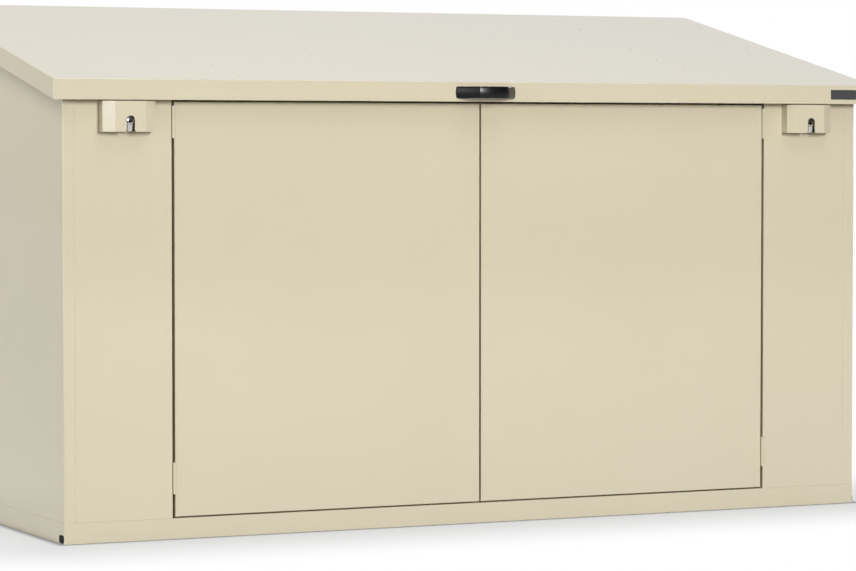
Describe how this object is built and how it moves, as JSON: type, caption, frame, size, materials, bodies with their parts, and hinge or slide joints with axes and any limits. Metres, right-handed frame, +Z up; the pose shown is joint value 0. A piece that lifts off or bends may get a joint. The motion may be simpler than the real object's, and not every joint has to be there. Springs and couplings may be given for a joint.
{
  "type": "metal bike shed",
  "caption": "Sheet-steel bike shed with a sloping lift-up lid on gas struts, hinged front doors, lock housings under the lid's edge and a raised steel floor.",
  "frame": {"origin": "middle of the cabinet's footprint, on the ground", "axes": "+X to the right along the front, +Y from the front to the back, +Z up"},
  "size_m": [2.045, 0.953, 1.1868],
  "materials": {
    "cream_powder_coat": "smooth semi-gloss cream powder coat on galvanised sheet",
    "galvanised_steel": "spangled hot-dip galvanised sheet",
    "zinc_plate": "bright zinc plate",
    "nickel_plate": "satin nickel plate on brass",
    "bright_steel": "ground and polished rod",
    "strut_paint": "black semi-gloss paint",
    "black_plastic": "glossy moulded black plastic",
    "black_rubber": "matt moulded rubber",
    "dark_plate": "plain satin dark grey plate"
  },
  "bodies": {
    "cabinet": {"back_panel": "cream_powder_coat", "back_top_rail": "cream_powder_coat", "base_plugs": "black_rubber", "base_tray": "cream_powder_coat", "door_hinge_frame_leaves_left": "cream_powder_coat", "door_hinge_frame_leaves_right": "cream_powder_coat", "door_hinge_pins": "zinc_plate", "door_sill_stop": "cream_powder_coat", "floor_bearer_left": "galvanised_steel", "floor_bearer_middle": "galvanised_steel", "floor_bearer_right": "galvanised_steel", "floor_bolts": "zinc_plate", "front_panel_left": "cream_powder_coat", "front_panel_right": "cream_powder_coat", "lid_hinge_frame_leaves": "cream_powder_coat", "lid_hinge_pins": "zinc_plate", "lock_bracket_left": "galvanised_steel", "lock_bracket_right": "galvanised_steel", "lock_cylinder_left": "nickel_plate", "lock_cylinder_right": "nickel_plate", "lock_housing_left": "cream_powder_coat", "lock_housing_right": "cream_powder_coat", "seam_bolts": "zinc_plate", "side_panel_left": "cream_powder_coat", "side_panel_right": "cream_powder_coat", "strut_wall_stud_left": "galvanised_steel", "strut_wall_stud_right": "galvanised_steel"},
    "lid": {"blank_plate": "dark_plate", "handle_screws": "zinc_plate", "lid_catch_left": "galvanised_steel", "lid_catch_right": "galvanised_steel", "lid_hinge_lid_leaves": "cream_powder_coat", "lid_rib_inner_left": "cream_powder_coat", "lid_rib_inner_right": "cream_powder_coat", "lid_rib_outer_left": "cream_powder_coat", "lid_rib_outer_right": "cream_powder_coat", "lid_skin": "cream_powder_coat", "pull_handle": "black_plastic", "strut_lid_bracket_left": "galvanised_steel", "strut_lid_bracket_right": "galvanised_steel"},
    "door_left": {"door_hinge_door_leaves_left": "cream_powder_coat", "door_left_skin": "cream_powder_coat", "door_left_stiffener": "cream_powder_coat"},
    "door_right": {"door_hinge_door_leaves_right": "cream_powder_coat", "door_right_skin": "cream_powder_coat", "door_right_stiffener": "cream_powder_coat"},
    "strut_tube_left": {"strut_gland_left": "strut_paint", "strut_tube_left": "strut_paint"},
    "strut_rod_left": {"strut_rod_left": "bright_steel"},
    "lock_left": {"lock_cam_left": "galvanised_steel", "lock_plug_left": "nickel_plate"},
    "strut_tube_right": {"strut_gland_right": "strut_paint", "strut_tube_right": "strut_paint"},
    "strut_rod_right": {"strut_rod_right": "bright_steel"},
    "lock_right": {"lock_cam_right": "galvanised_steel", "lock_plug_right": "nickel_plate"}
  },
  "joints": [
    {"name": "lid_lift", "type": "hinge", "parent": "cabinet", "child": "lid", "pos_m": [0, 0.4339, 1.13832], "axis": [-1, 0, 0], "range_deg": [0, 60]},
    {"name": "door_left_swing", "type": "hinge", "parent": "cabinet", "child": "door_left", "pos_m": [-0.739, -0.431, 0.5], "axis": [0, 0, -1], "range_deg": [0, 110]},
    {"name": "door_right_swing", "type": "hinge", "parent": "cabinet", "child": "door_right", "pos_m": [0.739, -0.431, 0.5], "axis": [0, 0, 1], "range_deg": [0, 110]},
    {"name": "strut_left_wall_pivot", "type": "hinge", "parent": "cabinet", "child": "strut_tube_left", "pos_m": [-0.955, 0.30307, 0.75486], "axis": [-1, 0, 0], "range_deg": [0, 30]},
    {"name": "strut_left_lid_pivot", "type": "hinge", "parent": "lid", "child": "strut_rod_left", "pos_m": [-0.955, 0.0339, 1.07381], "axis": [-1, 0, 0], "range_deg": [-30, 0]},
    {"name": "lock_left_turn", "type": "hinge", "parent": "cabinet", "child": "lock_left", "pos_m": [-0.849, -0.44, 0.905], "axis": [0, -1, 0], "range_deg": [0, 90]},
    {"name": "strut_right_wall_pivot", "type": "hinge", "parent": "cabinet", "child": "strut_tube_right", "pos_m": [0.955, 0.30307, 0.75486], "axis": [-1, 0, 0], "range_deg": [0, 30]},
    {"name": "strut_right_lid_pivot", "type": "hinge", "parent": "lid", "child": "strut_rod_right", "pos_m": [0.955, 0.0339, 1.07381], "axis": [-1, 0, 0], "range_deg": [-30, 0]},
    {"name": "lock_right_turn", "type": "hinge", "parent": "cabinet", "child": "lock_right", "pos_m": [0.849, -0.44, 0.905], "axis": [0, 1, 0], "range_deg": [0, 90]}
  ],
  "couplings": [
    {"joint": "strut_left_wall_pivot", "follows": "lid_lift", "ratio": 0.5},
    {"joint": "strut_left_lid_pivot", "follows": "lid_lift", "ratio": -0.5},
    {"joint": "strut_right_wall_pivot", "follows": "lid_lift", "ratio": 0.5},
    {"joint": "strut_right_lid_pivot", "follows": "lid_lift", "ratio": -0.5}
  ]
}
